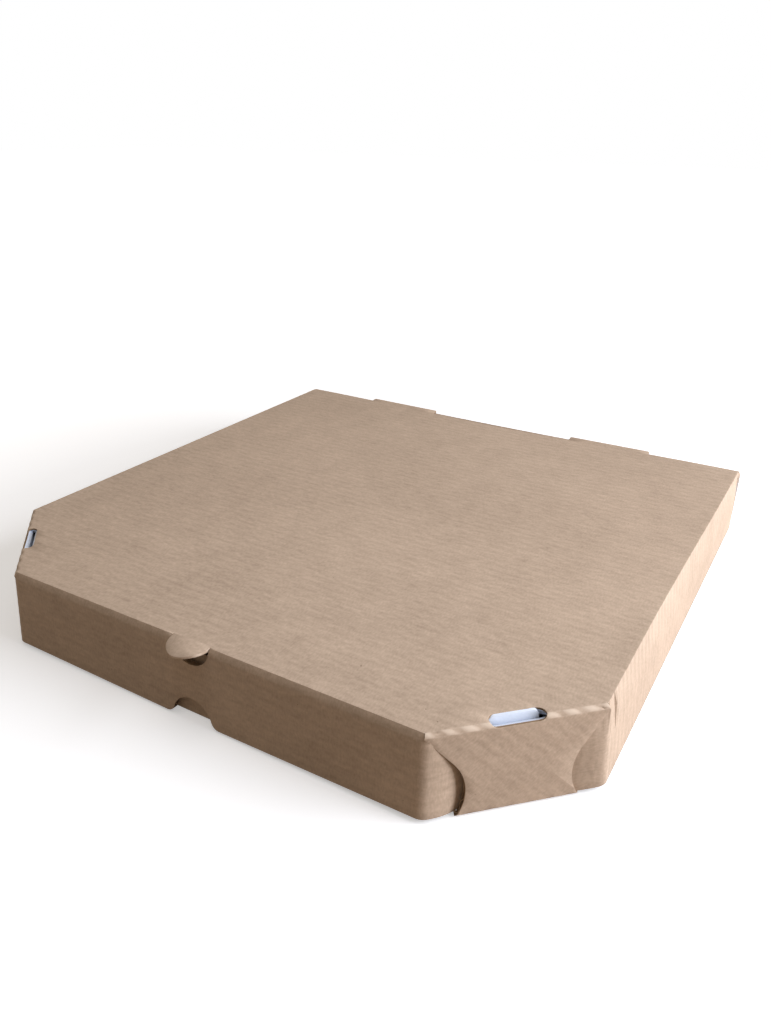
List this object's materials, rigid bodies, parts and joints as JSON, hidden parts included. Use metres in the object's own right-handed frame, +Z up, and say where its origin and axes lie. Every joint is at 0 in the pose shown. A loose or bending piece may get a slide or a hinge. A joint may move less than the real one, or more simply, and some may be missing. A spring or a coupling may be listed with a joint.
{
  "type": "pizza box",
  "caption": "Flat square carton of corrugated kraft board with two cut front corners; the walled upper half swings up on the fold at the foot of its rear wall.",
  "frame": {"origin": "middle of the closed box's footprint, on the table it stands on", "axes": "+Z up, +Y from the front wall with the thumb notch towards the rear wall, +X to the right"},
  "size_m": [0.3662, 0.3744, 0.044],
  "materials": {
    "kraft_board": "matte"
  },
  "bodies": {
    "base": {"base": "kraft_board"},
    "lid": {"lid": "kraft_board"}
  },
  "joints": [
    {"name": "lid_hinge", "type": "hinge", "parent": "base", "child": "lid", "pos_m": [0, 0.1838, 0], "axis": [-1, 0, 0], "range_deg": [0, 85]}
  ]
}
